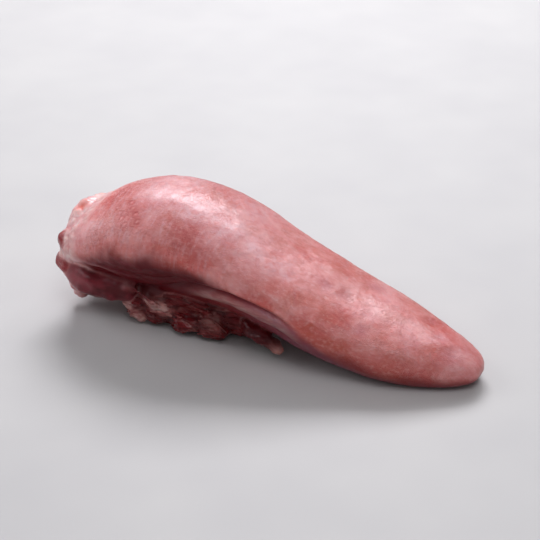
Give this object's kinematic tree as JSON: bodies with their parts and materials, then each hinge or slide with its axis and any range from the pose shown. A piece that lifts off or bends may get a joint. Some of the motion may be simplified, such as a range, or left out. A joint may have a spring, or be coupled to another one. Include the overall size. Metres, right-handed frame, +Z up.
{
  "type": "lamb tongue",
  "caption": "Raw trimmed lamb tongue lying on its underside: smooth humped back, rounded tip, fat collar at the cut root and ragged muscle beneath.",
  "frame": {"origin": "on the surface that it lies on, under the middle of its bounding box", "axes": "+X along the tongue from the cut root to the tip, +Z up through its back, -Y to the side that the picture shows"},
  "size_m": [0.1216, 0.0412, 0.0381],
  "materials": {
    "raw_tongue": "moist raw skin, pale pink with redder mottling, over dark red muscle and pale fat at the root and beneath"
  },
  "bodies": {
    "root": {"lamb_tongue": "raw_tongue"}
  },
  "joints": []
}
